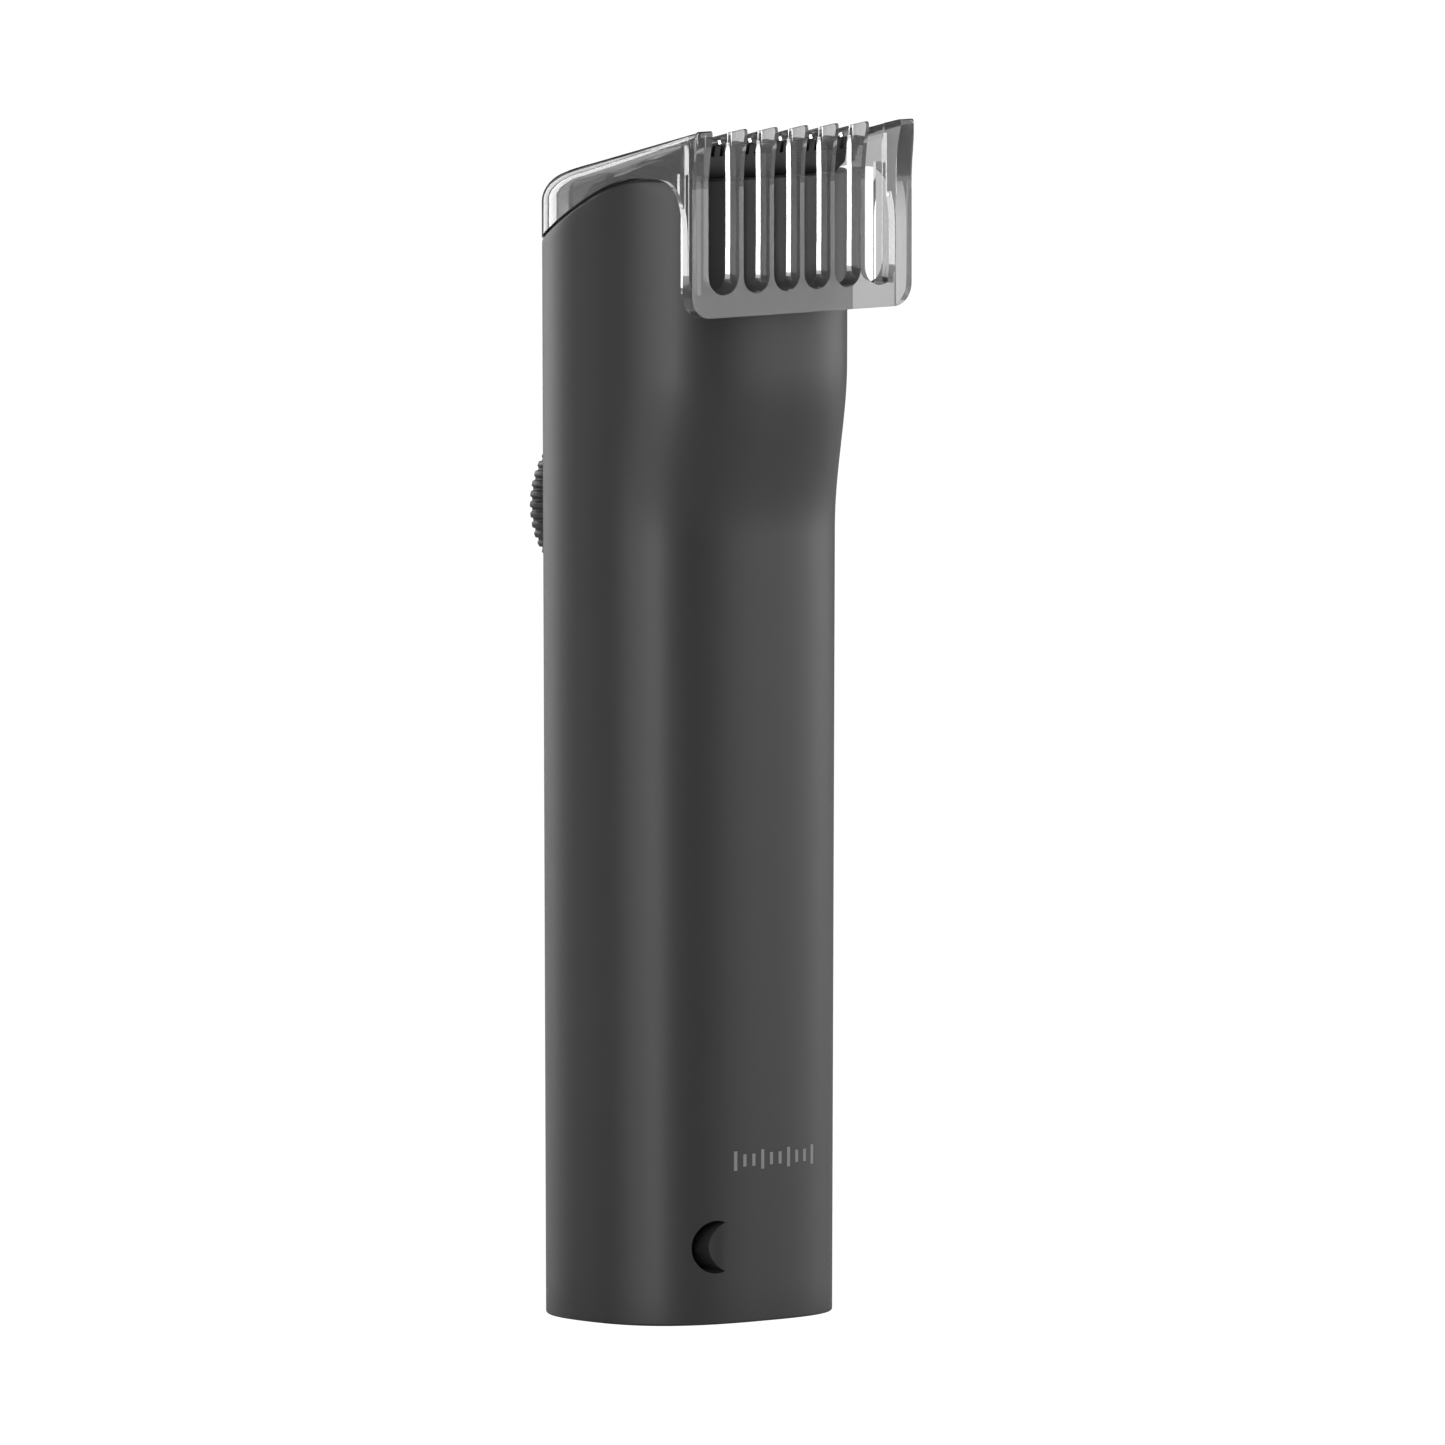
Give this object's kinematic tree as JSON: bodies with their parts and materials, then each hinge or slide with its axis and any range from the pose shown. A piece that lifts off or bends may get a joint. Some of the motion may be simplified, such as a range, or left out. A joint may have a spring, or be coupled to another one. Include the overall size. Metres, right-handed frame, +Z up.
{
  "type": "beard trimmer",
  "caption": "Cordless beard trimmer with a slim oval handle, a rotary length dial on the front and a translucent sliding guide comb over a toothed blade.",
  "frame": {"origin": "on the base, on the handle's centre line", "axes": "+Z up the handle to the cutting head, +Y out of the back where the blade and the comb's slots face, -Y out of the front with the dial, +X to the right seen from the front"},
  "size_m": [0.04, 0.0466, 0.1665],
  "materials": {
    "body_plastic": "satin charcoal with a fine grain",
    "base_plastic": "matte",
    "dial_plastic": "satin",
    "head_plastic": "satin black",
    "comb_smoke": "clear, smoke tinted",
    "chassis_plastic": "matte",
    "white_plastic": "natural acetal",
    "black_plastic": "matte",
    "light_pipe": "frosted clear",
    "seal_rubber": "matte",
    "board_green": "solder mask",
    "cell_wrap": "shrink film",
    "nickel": "plain",
    "plated_steel": "zinc plated",
    "steel": "ground",
    "blade_steel": "dark coated",
    "magnet": "plain",
    "copper": "enamelled winding"
  },
  "bodies": {
    "handle": {"housing": "body_plastic", "base_cap": "base_plastic", "base_seal": "seal_rubber", "charge_socket": "plated_steel", "charge_contacts": "black_plastic", "charge_board": "board_green", "battery_cell": "cell_wrap", "battery_tab_bottom": "nickel", "battery_tab_top": "nickel", "battery_foam": "seal_rubber", "main_board": "board_green", "board_parts": "black_plastic", "switch_body": "plated_steel", "button_seal": "seal_rubber", "status_light": "light_pipe", "chassis": "chassis_plastic", "board_screws": "plated_steel", "motor_can": "plated_steel", "motor_magnets": "magnet", "motor_end_cap": "white_plastic", "motor_screws": "plated_steel", "shaft_seal": "seal_rubber", "dial_seal": "seal_rubber", "detent_spring": "steel", "head_frame": "head_plastic", "fixed_blade": "blade_steel", "blade_spring": "steel", "blade_screws": "plated_steel", "lanyard_pin": "steel"},
    "comb": {"guide_comb": "comb_smoke", "comb_carriage": "white_plastic"},
    "dial": {"dial_knob": "dial_plastic", "dial_shaft": "white_plastic", "dial_screw": "plated_steel"},
    "button": {"power_button": "dial_plastic", "switch_plunger": "black_plastic"},
    "rotor": {"motor_rotor": "copper", "motor_shaft": "steel", "eccentric": "white_plastic"},
    "blade": {"moving_blade": "steel", "blade_driver": "white_plastic"}
  },
  "joints": [
    {"name": "comb_lift", "type": "slide", "parent": "handle", "child": "comb", "axis": [0, 0, 1], "range_m": [0, 0.0195]},
    {"name": "dial_turn", "type": "hinge", "parent": "handle", "child": "dial", "pos_m": [0, -0.018, 0.1118], "axis": [0, -1, 0], "range_deg": [0, 265.9]},
    {"name": "button_press", "type": "slide", "parent": "handle", "child": "button", "axis": [0, 1, 0], "range_m": [0, 0.0005], "stiffness_N_per_m": 600, "springref_m": -0.001},
    {"name": "motor_spin", "type": "hinge", "parent": "handle", "child": "rotor", "pos_m": [0, 0.003, 0.12], "axis": [0, 0, 1], "continuous": true},
    {"name": "blade_stroke", "type": "slide", "parent": "handle", "child": "blade", "axis": [1, 0, 0], "range_m": [-0.001, 0.001]}
  ],
  "couplings": [
    {"joint": "comb_lift", "follows": "dial_turn", "m_per_rad": 0.0042}
  ]
}
